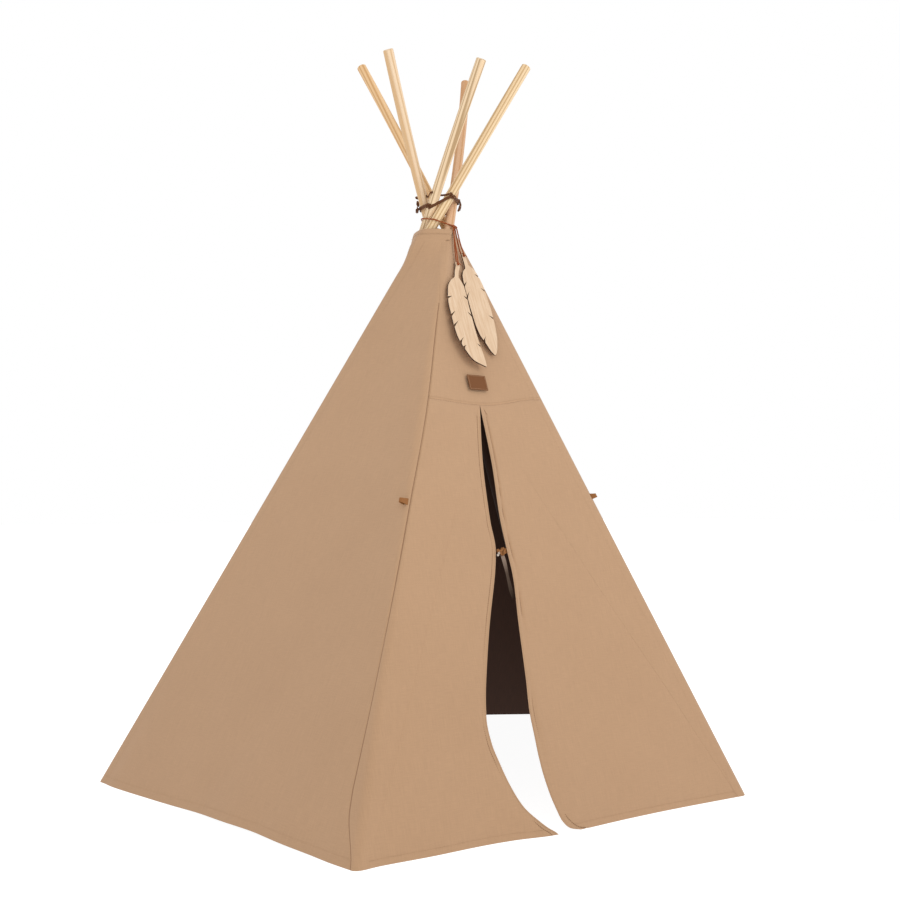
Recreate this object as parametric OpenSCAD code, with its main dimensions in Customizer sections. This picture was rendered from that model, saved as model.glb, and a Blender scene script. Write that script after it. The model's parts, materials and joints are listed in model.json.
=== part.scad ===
// Play teepee: five lashed dowel poles under a sewn canvas cover with a split door.
// Millimetres, +Z up. The origin is on the floor under the middle of the tent, and the door faces -Y.

/* [Poles] */
// Length of each pole
pole_len = 2000; // [1850:10:2150]
// Diameter of each pole
pole_d = 24; // [22:0.5:25]
// Chamfer on the pole ends
pole_chamfer = 1.5; // [0.5:0.5:3]
// Diameter of the lace hole through each pole
hole_d = 7; // [6:0.5:8]

/* [Stance] */
// Foot of the front left pole, on the floor
foot_front_left = [-495, -675];
// Foot of the front right pole, on the floor
foot_front_right = [465, -700];
// Foot of the right pole, on the floor
foot_right = [700, 260];
// Foot of the back pole, on the floor
foot_back = [-65, 695];
// Foot of the left pole, on the floor
foot_left = [-690, 200];
// Point of the floor under the crossing of the poles
crossing_xy = [0, -175];
// Height at which the poles pass closest to each other
crossing_h = 1365; // [1340:5:1400]
// Distance of each pole axis from the middle of the crossing
crossing_r = 30; // [29:0.5:33]
// Height of the lace holes
hole_h = 1415; // [1400:5:1430]

/* [Cover] */
// Thickness that each cloth panel takes up
cloth_t = 1.8; // [1:0.1:2.5]
// Wall of the sewn pole sleeves
sleeve_t = 1.2; // [0.8:0.1:1.4]
// Height of the top edge of the cover
cover_top = 1328; // [1320:1:1332]
// Height of the seam between the walls and the neck band
neck_seam_h = 1300; // [1290:1:1305]
// Height of the seam between the yoke and the door
yoke_h = 884; // [860:1:910]
// Where the door split starts across the bottom of the yoke, as a share of its width from the left
split_share = 0.44; // [0.4:0.01:0.5]
// Width of the leather corner tabs
tab_w = 16; // [12:1:24]
// Height of the leather corner tabs above the floor
tab_h = 668; // [600:1:720]

/* [Trim] */
// Thickness of the wooden feathers
feather_t = 3; // [2.5:0.5:4]
// Diameter of the hole that each feather hangs from
feather_hole_d = 5; // [4.5:0.5:6]
// Diameter of the feather cord
cord_d = 2.6; // [2:0.2:3]
// Size of the leather patch
patch_size = [54, 38, 1.6];

/* [Hidden] */

// The poles stand in this order, anticlockwise from above: front left, front right, right, back, left.
FRONT_LEFT = 0;
FRONT_RIGHT = 1;
RIGHT = 2;
BACK = 3;
LEFT = 4;
feet = [foot_front_left, foot_front_right, foot_right, foot_back, foot_left];

CANVAS = "#bd9b78";
CANVAS_DARK = "#b28f6b";
PINE = "#ead0a4";
LEATHER = "#7b4a28";
LACE = "#5d3f2a";
CORD = "#8f4a26";
PLYWOOD = "#e9cda6";
TAPE = "#b5aa9c";

pole_r = pole_d / 2;
sleeve_clear = 0.4;
sleeve_r = pole_r + sleeve_clear + sleeve_t;
// A leaning tube is wider in a level section, so the cloth stands this far off each pole axis.
wall_stand = 16.4;
wall_out = wall_stand + cloth_t;
neck_stand = 14.8;
level_gap = 1;
sleeve_top_gap = 12;
lace_d = 4.4;
lace_reach = 36;
wrap_h = 7;
wrap_t = 2;
wrap_low = 1378;
wrap_high = 1394;
wrap_stand = 14;
cord_h = 1346;
cord_slope = 0.25;
cord_fall = [0.84, -0.55];
// The panels narrow to nothing at the crossing, so their rows come closer together towards it.
wall_top = neck_seam_h - level_gap;
wall_rows = 30;
row_ratio = pow(1 - wall_top / crossing_h, 1 / wall_rows);
wall_levels = [for (k = [0:wall_rows]) crossing_h * (1 - pow(row_ratio, k))];
$fn = 48;

// ---------- where the poles and the cloth run ----------

function unit(v) = v / norm(v);
function next(i) = (i + 1) % 5;

// A pole's plan line starts at its foot and touches the circle of radius crossing_r.
function from_crossing(i) = feet[i] - crossing_xy;
function touch_azimuth(i) =
    let (d = from_crossing(i)) atan2(d.y, d.x) + acos(crossing_r / norm(d));
function touch_xy(i) =
    crossing_xy + crossing_r * [cos(touch_azimuth(i)), sin(touch_azimuth(i))];
function pole_xy(i, z) = feet[i] + (touch_xy(i) - feet[i]) * z / crossing_h;
function lean_run(i) = touch_xy(i) - feet[i];
function lean(i) = atan2(norm(lean_run(i)), crossing_h);
function lean_azimuth(i) = atan2(lean_run(i).y, lean_run(i).x);

// Level section of the cover: the outward normal of the panel after pole i, and points on that panel.
function panel_normal(i, z) =
    let (e = unit(pole_xy(next(i), z) - pole_xy(i, z))) [e.y, -e.x];
function panel_xy(i, z, share, out) =
    pole_xy(i, z) * (1 - share) + pole_xy(next(i), z) * share + panel_normal(i, z) * out;
function lift(p, z) = [p.x, p.y, z];
function panel_point(i, z, share, out) = lift(panel_xy(i, z, share, out), z);

// Outline of the whole cover at one height, with a round corner at each pole.
CORNER_STEPS = 5;
function turn_to(a, b) = a + ((b - a) % 360 + 360) % 360;
function outline(z, out) = [
    for (i = [0:4], k = [0:CORNER_STEPS])
        let (before = panel_normal((i + 4) % 5, z), after = panel_normal(i, z))
        let (a = atan2(before.y, before.x), b = turn_to(a, atan2(after.y, after.x)))
        let (w = a + (b - a) * k / CORNER_STEPS)
        lift(pole_xy(i, z) + out * [cos(w), sin(w)], z)
];

// ---------- solids from rings of points ----------

// Closed skin over rings of equal length, with a flat cap at each end.
module loft(rings) {
    n = len(rings[0]);
    sides = [
        for (r = [0:len(rings) - 2], k = [0:n - 1])
            let (a = r * n + k, b = r * n + (k + 1) % n)
            each [[a, b, b + n], [a, b + n, a + n]]
    ];
    last = (len(rings) - 1) * n;
    caps = [
        for (k = [1:n - 2]) each [[0, k + 1, k], [last, last + k, last + k + 1]]
    ];
    polyhedron([for (ring = rings) each ring], concat(sides, caps), convexity = 6);
}

// Closed band that follows rings of equal length round and back to the first one.
module loop_loft(rings) {
    n = len(rings[0]);
    m = len(rings);
    sides = [
        for (r = [0:m - 1], k = [0:n - 1])
            let (a = r * n + k, b = r * n + (k + 1) % n)
            let (c = ((r + 1) % m) * n + k, d = ((r + 1) % m) * n + (k + 1) % n)
            each [[a, b, d], [a, d, c]]
    ];
    polyhedron([for (ring = rings) each ring], sides, convexity = 6);
}

// Cloth panel after pole i: each row is [height, share at its left edge, share at its right edge].
module cloth(i, rows) {
    loft([
        for (row = rows) [
            panel_point(i, row[0], row[1], wall_stand),
            panel_point(i, row[0], row[2], wall_stand),
            panel_point(i, row[0], row[2], wall_out),
            panel_point(i, row[0], row[1], wall_out)
        ]
    ]);
}

// Band round the cover between two heights.
module band(low, high, stand, t) {
    inner_low = outline(low, stand);
    outer_low = outline(low, stand + t);
    outer_high = outline(high, stand + t);
    inner_high = outline(high, stand);
    loop_loft([
        for (k = [0:len(inner_low) - 1]) [inner_low[k], outer_low[k], outer_high[k], inner_high[k]]
    ]);
}

// Round tube of equal rings along a route.
TUBE_SIDES = 8;
function along(route, k) =
    unit(route[min(k + 1, len(route) - 1)] - route[max(k - 1, 0)]);
module tube(route, d) {
    loft([
        for (k = [0:len(route) - 1])
            let (t = along(route, k), u = unit(cross(t, [1, 0, 0])), v = cross(t, u))
            [for (a = [0:TUBE_SIDES - 1])
                route[k] + d / 2 * (u * cos(a * 360 / TUBE_SIDES) + v * sin(a * 360 / TUBE_SIDES))]
    ]);
}

// ---------- poles, sleeves and lashing ----------

module at_pole(i) {
    translate(lift(feet[i], 0)) rotate([0, lean(i), lean_azimuth(i)]) children();
}

// The lower rim of the square-cut foot rests on the floor.
module pole(i) {
    start = (pole_r - pole_chamfer) * tan(lean(i));
    hole_at = hole_h / cos(lean(i));
    color(PINE) at_pole(i) difference() {
        translate([0, 0, start]) union() {
            cylinder(h = pole_chamfer, r1 = pole_r - pole_chamfer, r2 = pole_r);
            translate([0, 0, pole_chamfer]) cylinder(h = pole_len - 2 * pole_chamfer, r = pole_r);
            translate([0, 0, pole_len - pole_chamfer])
                cylinder(h = pole_chamfer, r1 = pole_r, r2 = pole_r - pole_chamfer);
        }
        translate([0, pole_d, hole_at]) rotate([90, 0, 0]) cylinder(h = 2 * pole_d, d = hole_d);
    }
}

module sleeve(i) {
    start = (sleeve_r + 1) * tan(lean(i));
    length = (neck_seam_h - sleeve_top_gap) / cos(lean(i)) - start;
    color(CANVAS_DARK) at_pole(i) translate([0, 0, start]) difference() {
        cylinder(h = length, r = sleeve_r);
        translate([0, 0, -1]) cylinder(h = length + 2, r = pole_r + sleeve_clear);
    }
}

// The lace passes through each pole along the axis that the pole folds about.
module lashing_lace() {
    color(LACE) for (i = [0:4])
        at_pole(i) translate([0, lace_reach / 2, hole_h / cos(lean(i))])
            rotate([90, 0, 0]) cylinder(h = lace_reach, d = lace_d);
}

module lashing_wrap() {
    color(LACE) for (z = [wrap_low, wrap_high]) band(z, z + wrap_h, wrap_stand, wrap_t);
}

// ---------- cover ----------

module neck_band() {
    color(CANVAS_DARK) band(neck_seam_h, cover_top, neck_stand, wall_out - neck_stand);
}

module wall(i) {
    color(CANVAS) cloth(i, [for (z = wall_levels) [z, 0, 1]]);
}

// Each flap folds back along a straight line from the top of the split to the foot of its pole.
// Distances across the door are measured from the nearer pole.
function door_width(z) = norm(pole_xy(FRONT_RIGHT, z) - pole_xy(FRONT_LEFT, z));
split_from_left = split_share * door_width(yoke_h);
split_from_right = (1 - split_share) * door_width(yoke_h);
flap_top = yoke_h - 2.5;
fold_foot = 14;
fold_top_in = 3.5;
fold_gap = 0.5;
function fold_left(z) = fold_foot + (split_from_left - fold_top_in - fold_foot) * z / yoke_h;
function fold_right(z) = fold_foot + (split_from_right - fold_top_in - fold_foot) * z / yoke_h;

// Free edges of the flaps: [height, left edge from the left pole, right edge from the right pole].
door_rows = [
    [0, 433, 468], [6, 424, 491], [14, 408, 499], [27, 387, 503], [57, 346, 502],
    [100, 309, 495], [139, 282, 484], [178, 258, 470], [225, 241, 453], [290, 234, 422],
    [409, 231, 369], [500, 233, 328], [551, 230, 312], [620, 207, 290], [750, 172, 237],
    [flap_top, split_from_left - 1, split_from_right - 1]
];

module door_cloth(rows) {
    cloth(FRONT_LEFT, [
        for (row = rows) [row[0], row[1] / door_width(row[0]), 1 - row[2] / door_width(row[0])]
    ]);
}

module door_yoke() {
    levels = concat(yoke_h, [for (z = wall_levels) if (z > yoke_h + 10) z]);
    color(CANVAS) cloth(FRONT_LEFT, [for (z = levels) [z, 0, 1]]);
}

side_levels = concat([for (z = wall_levels) if (z < yoke_h - 20) z], yoke_h - level_gap);

module door_side_left() {
    color(CANVAS) door_cloth([
        for (z = side_levels) [z, 0, door_width(z) - fold_left(z) + fold_gap]
    ]);
}

module door_side_right() {
    color(CANVAS) door_cloth([
        for (z = side_levels) [z, door_width(z) - fold_right(z) + fold_gap, 0]
    ]);
}

module door_flap_left() {
    color(CANVAS) door_cloth([
        for (row = door_rows) [row[0], fold_left(row[0]) + fold_gap, door_width(row[0]) - row[1]]
    ]);
}

module door_flap_right() {
    color(CANVAS) door_cloth([
        for (row = door_rows) [row[0], door_width(row[0]) - row[2], fold_right(row[0]) + fold_gap]
    ]);
}

// ---------- leather and tape ----------

// Flat piece against the outside of the front panel, centred at a height and a share of the width.
module on_front(z, share, off) {
    low = panel_point(FRONT_LEFT, z - 10, share, wall_out);
    high = panel_point(FRONT_LEFT, z + 10, share, wall_out);
    n = panel_normal(FRONT_LEFT, z);
    slope = atan2(norm([high.x - low.x, high.y - low.y]), 20);
    translate(panel_point(FRONT_LEFT, z, share, wall_out + off))
        rotate([0, 0, atan2(n.y, n.x) + 90]) rotate([-slope, 0, 0]) children();
}

module leather_patch() {
    color(LEATHER) on_front(937, 0.43, 1.6)
        translate([0, -patch_size.z / 2, 0])
            cube([patch_size.x, patch_size.z, patch_size.y], center = true);
}

// Folded leather loop that sticks out of a corner sleeve, square to its pole.
module corner_tab(i, azimuth) {
    tab_reach = 18;
    tab_t = 3;
    color(LEATHER) at_pole(i) translate([0, 0, tab_h / cos(lean(i))])
        rotate([0, 0, azimuth - lean_azimuth(i)])
            translate([sleeve_r + 0.4, -tab_t / 2, -tab_w / 2]) difference() {
                cube([tab_reach, tab_t, tab_w]);
                translate([tab_reach * 0.6, tab_t * 2, tab_w / 2])
                    rotate([90, 0, 0]) cylinder(h = tab_t * 4, d = 5);
            }
}

// Leather closure sewn inside the edge of the right flap, which reaches across to the left one.
module door_tab() {
    tab = [34, 1.6, 19];
    color(LEATHER) on_front(551, 0.432, -cloth_t - 0.4) translate([0, tab.y / 2, 0]) difference() {
        cube(tab, center = true);
        translate([-tab.x / 4, tab.y, 0]) rotate([90, 0, 0]) cylinder(h = 4 * tab.y, d = 4);
    }
}

// Cotton tape that hangs inside the door from the closure.
module door_tape() {
    tape = [9, 1, 104];
    color(TAPE) on_front(500, 0.445, -cloth_t - 3)
        rotate([0, -4, 0]) translate([0, tape.y / 2, 0]) cube(tape, center = true);
}

// ---------- feathers and their cord ----------

// Round cord that closes on itself along level points.
module ring_tube(points, d) {
    n = len(points);
    loop_loft([
        for (k = [0:n - 1])
            let (t = unit(points[(k + 1) % n] - points[(k + n - 1) % n]), u = cross(t, [0, 0, 1]))
            [for (a = [0:TUBE_SIDES - 1])
                points[k] + d / 2 * (u * cos(a * 360 / TUBE_SIDES)
                    + [0, 0, 1] * sin(a * 360 / TUBE_SIDES))]
    ]);
}

// The cord slopes down across the poles to the knot, and keeps the same distance from each pole.
function cord_drop(p) = cord_slope * (unit(cord_fall) * ([p.x, p.y] - crossing_xy));
module feather_cord() {
    stand = wrap_stand + cord_d / 2;
    level_ring = outline(cord_h, stand);
    color(CORD) ring_tube([
        for (k = [0:len(level_ring) - 1]) outline(cord_h - cord_drop(level_ring[k]), stand)[k]
    ], cord_d);
}

// The knot, the strands and the feathers share one frame: x runs across the front panel,
// y runs into the tent and z runs up the slope.
module in_feather_frame() {
    on_front(1100, 0.5, 9) children();
}

knot_at = [1, -13.8, 244];
module feather_knot() {
    color(CORD) in_feather_frame() translate(knot_at) rotate([90, 0, 0])
        cylinder(h = 7, d = 8, center = true);
}

// Routes of the four cord strands, from the knot to the hole in each feather.
strand_left_inner_route = [
    [-1.5, -12.3, 236], [-2.5, -10.5, 222], [-4, -8, 208], [-5.5, -6, 196], [-7, -4, 182],
    [-8.2, -1.9, 166], [-9.5, -0.2, 150], [-12, 0.5, 140]
];
strand_left_outer_route = [
    [-5, -15.2, 236], [-6, -14, 222], [-7.3, -12.5, 206], [-8.6, -11, 188], [-10, -9.5, 166],
    [-11.5, -8.2, 150], [-12, -7.5, 140]
];
strand_right_inner_route = [
    [4.5, -11.7, 237], [6.5, -9, 229.5], [9, -6, 221], [14, 0.3, 203], [18.5, 4.6, 188],
    [22, 5.5, 172]
];
strand_right_outer_route = [
    [8.5, -14, 237], [11, -10.8, 224], [15, -6.5, 203], [19, -4, 187], [22, -2.5, 172]
];

module strand(route) {
    color(CORD) in_feather_frame() tube(route, cord_d);
}

// Outline of each blade from the hole that it hangs from: [distance down, left edge, right edge].
left_blade = [
    [-7, -4, 4], [-4, -7, 7], [3, -8, 6], [20, -16, -3], [38, -23, -9], [46, -35, -4], [65, -51, 1],
    [84, -58, 1], [120, -66, -1], [172, -67, -1], [200, -65, 0], [227, -55, 2], [240, -48, 4],
    [260, -33, 5], [274, 1, 4]
];
right_blade = [
    [-7, -4, 4], [-4, -6, 6], [23, -5, 8], [34, -6, 22], [46, -17, 29], [61, -23, 35], [83, -25, 40],
    [115, -26, 42], [145, -26, 44], [165, -25, 43], [188, -24, 42], [219, -18, 38], [236, -8, 33],
    [252, 0, 27], [262, 6, 22], [269, 13, 16]
];
// Cuts between the barbs: [x at the edge, distance down there, x at the inner end, distance down there].
left_cuts = [
    [-62, 96, -48, 93], [-67, 144, -50, 133], [-67, 172, -48, 158], [-61, 214, -46, 202],
    [-55, 227, -44, 222], [-1, 91, -10, 87], [-1, 137, -12, 130], [1, 219, -8, 214]
];
right_cuts = [
    [-25, 83, -14, 73], [-26, 115, -14, 100], [-10, 232, 0, 220], [31, 51, 20, 47],
    [40, 90, 28, 84], [43, 165, 29, 159]
];
cut_mouth = 5;

// The feather hangs in the frame with the middle of its hole at hang.
module feather(blade, cuts, hang) {
    last = len(blade) - 1;
    edge = concat(
        [for (b = blade) [b[1], -b[0]]],
        [for (k = [last:-1:0]) [blade[k][2], -blade[k][0]]]
    );
    color(PLYWOOD) in_feather_frame() translate(hang) rotate([90, 0, 0])
        linear_extrude(feather_t, center = true) difference() {
            polygon(edge);
            circle(d = feather_hole_d);
            for (c = cuts) {
                inner = [c[2], -c[3]];
                away = 2 * [c[0], -c[1]] - inner;
                polygon([inner, away, away - [0, 2 * cut_mouth]]);
            }
        }
}

module feather_left() {
    feather(left_blade, left_cuts, [-12, -3.5, 140]);
}

module feather_right() {
    feather(right_blade, right_cuts, [22, 1.5, 172]);
}

// ---------- the assembly ----------

pole(FRONT_LEFT);  // pole_front_left
pole(FRONT_RIGHT);  // pole_front_right
pole(RIGHT);  // pole_right
pole(BACK);  // pole_back
pole(LEFT);  // pole_left
sleeve(FRONT_LEFT);  // sleeve_front_left
sleeve(FRONT_RIGHT);  // sleeve_front_right
sleeve(RIGHT);  // sleeve_right
sleeve(BACK);  // sleeve_back
sleeve(LEFT);  // sleeve_left
neck_band();
wall(LEFT);  // wall_left
wall(FRONT_RIGHT);  // wall_right
wall(BACK);  // wall_back_left
wall(RIGHT);  // wall_back_right
door_yoke();
door_side_left();
door_side_right();
door_flap_left();
door_flap_right();
lashing_lace();
lashing_wrap();
feather_cord();
feather_knot();
strand(strand_left_inner_route);  // strand_left_inner
strand(strand_left_outer_route);  // strand_left_outer
strand(strand_right_inner_route);  // strand_right_inner
strand(strand_right_outer_route);  // strand_right_outer
feather_left();
feather_right();
leather_patch();
corner_tab(FRONT_LEFT, 205);  // corner_tab_left
corner_tab(FRONT_RIGHT, 330);  // corner_tab_right
door_tab();
door_tape();
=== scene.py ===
"""Play teepee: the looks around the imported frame. Metres, +Z up, the door faces -Y."""

import json
import math

import bmesh
import bpy
from mathutils import Matrix, Vector, noise
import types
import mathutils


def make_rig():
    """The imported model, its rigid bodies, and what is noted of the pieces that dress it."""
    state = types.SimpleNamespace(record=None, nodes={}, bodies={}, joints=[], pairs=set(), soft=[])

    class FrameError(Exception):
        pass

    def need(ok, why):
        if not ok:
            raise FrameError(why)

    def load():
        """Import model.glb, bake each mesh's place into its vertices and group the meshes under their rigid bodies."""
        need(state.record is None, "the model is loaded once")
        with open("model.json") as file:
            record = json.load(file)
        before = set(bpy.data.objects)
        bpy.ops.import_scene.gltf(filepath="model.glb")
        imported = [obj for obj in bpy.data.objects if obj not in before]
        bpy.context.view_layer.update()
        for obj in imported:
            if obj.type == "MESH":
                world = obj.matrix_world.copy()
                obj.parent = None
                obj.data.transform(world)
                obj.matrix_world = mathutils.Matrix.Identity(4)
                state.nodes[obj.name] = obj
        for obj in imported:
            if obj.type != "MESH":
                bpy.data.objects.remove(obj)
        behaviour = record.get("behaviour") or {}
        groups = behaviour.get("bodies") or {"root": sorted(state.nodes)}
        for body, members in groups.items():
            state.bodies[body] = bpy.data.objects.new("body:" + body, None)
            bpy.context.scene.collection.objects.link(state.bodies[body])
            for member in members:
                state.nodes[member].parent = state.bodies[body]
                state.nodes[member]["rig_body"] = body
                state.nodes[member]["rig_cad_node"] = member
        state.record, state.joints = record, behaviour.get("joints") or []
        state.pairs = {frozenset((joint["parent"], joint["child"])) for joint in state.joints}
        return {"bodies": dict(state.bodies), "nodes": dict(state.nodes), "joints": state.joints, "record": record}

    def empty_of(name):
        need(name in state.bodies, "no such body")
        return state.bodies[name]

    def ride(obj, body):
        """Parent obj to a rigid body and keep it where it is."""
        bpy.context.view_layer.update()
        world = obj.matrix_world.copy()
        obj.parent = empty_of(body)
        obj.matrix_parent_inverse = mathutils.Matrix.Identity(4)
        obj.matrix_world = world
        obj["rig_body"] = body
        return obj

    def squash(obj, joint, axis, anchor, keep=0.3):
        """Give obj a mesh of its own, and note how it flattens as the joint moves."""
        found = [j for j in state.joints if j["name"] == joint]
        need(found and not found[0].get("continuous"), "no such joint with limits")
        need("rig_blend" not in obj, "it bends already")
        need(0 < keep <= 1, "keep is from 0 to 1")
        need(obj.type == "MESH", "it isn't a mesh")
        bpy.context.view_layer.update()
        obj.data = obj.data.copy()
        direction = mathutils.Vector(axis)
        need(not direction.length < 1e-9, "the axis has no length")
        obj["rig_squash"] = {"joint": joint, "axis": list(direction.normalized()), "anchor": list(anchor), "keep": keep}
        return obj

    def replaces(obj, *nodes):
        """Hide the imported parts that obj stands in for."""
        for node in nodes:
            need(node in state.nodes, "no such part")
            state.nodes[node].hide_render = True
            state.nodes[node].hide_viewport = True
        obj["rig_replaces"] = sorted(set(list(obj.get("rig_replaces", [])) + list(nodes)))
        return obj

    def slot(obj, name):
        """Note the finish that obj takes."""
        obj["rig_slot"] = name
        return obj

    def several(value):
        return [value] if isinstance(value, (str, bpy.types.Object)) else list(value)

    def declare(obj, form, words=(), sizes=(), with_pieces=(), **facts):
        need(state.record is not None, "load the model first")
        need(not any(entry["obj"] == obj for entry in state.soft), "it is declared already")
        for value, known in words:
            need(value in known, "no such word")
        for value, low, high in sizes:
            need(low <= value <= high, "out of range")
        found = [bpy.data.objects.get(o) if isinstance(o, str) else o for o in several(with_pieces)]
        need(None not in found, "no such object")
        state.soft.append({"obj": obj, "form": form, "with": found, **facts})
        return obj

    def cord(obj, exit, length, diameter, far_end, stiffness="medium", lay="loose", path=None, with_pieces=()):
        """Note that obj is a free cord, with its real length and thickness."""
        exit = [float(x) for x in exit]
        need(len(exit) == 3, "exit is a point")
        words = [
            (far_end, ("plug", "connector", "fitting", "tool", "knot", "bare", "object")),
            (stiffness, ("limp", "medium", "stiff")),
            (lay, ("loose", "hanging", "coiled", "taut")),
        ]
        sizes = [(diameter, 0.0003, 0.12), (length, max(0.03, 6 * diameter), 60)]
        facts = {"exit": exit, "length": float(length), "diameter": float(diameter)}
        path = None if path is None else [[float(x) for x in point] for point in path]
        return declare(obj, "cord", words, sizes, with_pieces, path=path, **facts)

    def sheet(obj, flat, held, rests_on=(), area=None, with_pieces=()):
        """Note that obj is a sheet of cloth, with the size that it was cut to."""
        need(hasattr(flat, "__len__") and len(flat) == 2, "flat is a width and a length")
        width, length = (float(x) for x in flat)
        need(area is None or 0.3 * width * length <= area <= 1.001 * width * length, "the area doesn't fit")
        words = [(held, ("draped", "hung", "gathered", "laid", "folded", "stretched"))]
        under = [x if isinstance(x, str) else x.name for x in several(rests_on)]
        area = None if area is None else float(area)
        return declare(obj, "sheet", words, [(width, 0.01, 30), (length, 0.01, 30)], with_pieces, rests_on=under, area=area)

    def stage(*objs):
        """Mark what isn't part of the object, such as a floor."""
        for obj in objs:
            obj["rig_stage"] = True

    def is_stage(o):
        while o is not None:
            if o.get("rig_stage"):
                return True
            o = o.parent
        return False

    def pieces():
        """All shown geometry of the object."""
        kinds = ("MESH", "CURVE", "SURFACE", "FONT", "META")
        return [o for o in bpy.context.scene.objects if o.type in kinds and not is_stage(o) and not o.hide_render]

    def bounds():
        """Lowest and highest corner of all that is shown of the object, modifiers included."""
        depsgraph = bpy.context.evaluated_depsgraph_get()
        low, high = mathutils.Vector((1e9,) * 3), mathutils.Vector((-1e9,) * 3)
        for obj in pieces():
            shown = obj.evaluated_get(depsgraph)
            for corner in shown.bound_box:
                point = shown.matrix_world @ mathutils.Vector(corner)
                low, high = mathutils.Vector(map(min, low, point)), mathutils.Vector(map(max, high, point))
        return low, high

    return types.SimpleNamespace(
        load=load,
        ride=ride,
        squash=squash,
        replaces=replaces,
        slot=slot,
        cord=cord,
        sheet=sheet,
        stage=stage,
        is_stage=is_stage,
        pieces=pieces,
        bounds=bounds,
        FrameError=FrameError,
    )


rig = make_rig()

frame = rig.load()
low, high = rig.bounds()
cad_size = [list(low), list(high)]
MM = 0.001

# ---------- where the poles and the cloth run, as in the CAD ----------

# Pole i and panel i share a number: a panel runs from its own pole to the next one.
FRONT_LEFT, FRONT_RIGHT, RIGHT, BACK, LEFT = range(5)
FRONT = FRONT_LEFT
POLES = ["front_left", "front_right", "right", "back", "left"]
PANELS = ["front_wall"] + ["wall_" + side + "_panel" for side in ("right", "back_right", "back_left", "left")]
FEET = [Vector((-0.495, -0.675)), Vector((0.465, -0.700)), Vector((0.700, 0.260)),
        Vector((-0.065, 0.695)), Vector((-0.690, 0.200))]
# Each pole is CROSS_R from the upright line through CROSSING at the height CROSS_H.
CROSSING = Vector((0.0, -0.175))
CROSS_H, CROSS_R = 1.365, 0.030
HOLE_H, HOLE_R = 1.415, 0.0033
POLE_LEN, POLE_R = 2.0, 0.012
YOKE_H = 0.884
COVER_TOP = 1.3
NECK_LOW, NECK_SEAM, NECK_HIGH = 1.296, 1.311, 1.324
# The cover's outer face turns round the middle of each pole at this distance.
WRAP_R = 0.0172
UP = Vector((0, 0, 1))
# Level direction to the right in the photo's view.
VIEW_RIGHT = Vector((0.84, -0.55)).normalized()


def touch_xy(i):
    d = FEET[i] - CROSSING
    a = math.atan2(d.y, d.x) + math.acos(CROSS_R / d.length)
    return CROSSING + CROSS_R * Vector((math.cos(a), math.sin(a)))


TOUCH = [touch_xy(i) for i in range(5)]


def pole_xy(i, z):
    return FEET[i] + (TOUCH[i] - FEET[i]) * (z / CROSS_H)


def pole_at(i, z):
    p = pole_xy(i, z)
    return Vector((p.x, p.y, z))


def pole_dir(i):
    return (pole_at(i, 1.0) - pole_at(i, 0.0)).normalized()


def across_pole(i):
    """Level direction across a pole, which the lace takes through its hole."""
    return Vector((-pole_dir(i).y, pole_dir(i).x, 0)).normalized()


def across_view(p):
    """How far to the right of CROSSING a point is in the photo's view."""
    return VIEW_RIGHT.dot(Vector((p.x, p.y)) - CROSSING)


def panel_width(i, z):
    return (pole_xy((i + 1) % 5, z) - pole_xy(i, z)).length


def panel_normal(i, z):
    e = (pole_xy((i + 1) % 5, z) - pole_xy(i, z)).normalized()
    return Vector((e.y, -e.x))


def half_turn(i, z):
    """Half of the angle that the cloth turns through round pole i."""
    return panel_normal((i + 4) % 5, z).angle(panel_normal(i, z)) / 2


def full_turn(i, z):
    """Length of cloth that lies round pole i."""
    return 2 * half_turn(i, z) * WRAP_R


def smooth(a, b, x):
    """0 at a and 1 at b, with an easy start and stop."""
    t = min(max((x - a) / (b - a), 0.0), 1.0)
    return t * t * (3 - 2 * t)


def bump(x, at, width):
    return math.exp(-(((x - at) / width) ** 2))


def between(a, b, n, ease=0.0):
    """n + 1 values from a to b, closer together at both ends by ease."""
    out = []
    for k in range(n + 1):
        t = k / n
        t = t * (1 - ease) + ease * (0.5 - 0.5 * math.cos(math.pi * t))
        out.append(a + (b - a) * t)
    return out


def wrinkle(i, z, d):
    """Small waves of the cloth, as a distance outward."""
    w = panel_width(i, z)
    share = min(max(d / max(w, 0.05), 0.0), 1.0)
    inside = smooth(0.0, 0.06, d) * smooth(0.0, 0.06, w - d)
    broad = noise.noise(Vector((3.1 * i + d * 2.6, z * 1.7, 4.0 + i))) * 0.0045
    fine = noise.noise(Vector((9.0 * i + d * 9.0, z * 4.0, 1.5))) * 0.0011
    hem = noise.noise(Vector((5.0 * i + d * 6.5, 0.3, 7.7))) * 0.007 * smooth(0.20, 0.0, z)
    slack = -0.006 * math.sin(math.pi * share) * smooth(0.0, 0.4, z) * smooth(1.25, 0.8, z)
    return inside * (broad + fine + slack) + hem * smooth(0.0, 0.04, d) * smooth(0.0, 0.04, w - d)


def loose(i, z, d):
    """How far the neck of the cover stands off at the left pole, where it is loose."""
    reach, stand_off = 0.10, 0.012
    share = 0.0
    if i == LEFT:
        share = 1 - smooth(0.0, reach, d)
    if i == BACK:
        share = smooth(0.0, reach, d - panel_width(i, z) + reach)
    return stand_off * share * smooth(1.23, 1.30, z)


def hem_rise(i, z, d):
    """The left wall's hem is lifted a little past its middle."""
    if i != LEFT:
        return 0.0
    return 0.007 * bump(d / panel_width(i, z), 0.62, 0.22) * smooth(0.30, 0.0, z)


def lift_yoke_seam(z, d):
    """The seam under the yoke climbs to both sides from the top of the split."""
    w = panel_width(FRONT, z)
    share = d / w
    rise = 0.007 * smooth(0.40, 0.0, share) + 0.022 * smooth(0.46, 1.0, share)
    up = z + rise * bump(z, YOKE_H, 0.09)
    wider = panel_width(FRONT, up)
    return up, (share * wider if 0 <= share <= 1 else d if d < 0 else wider + d - w)


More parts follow.
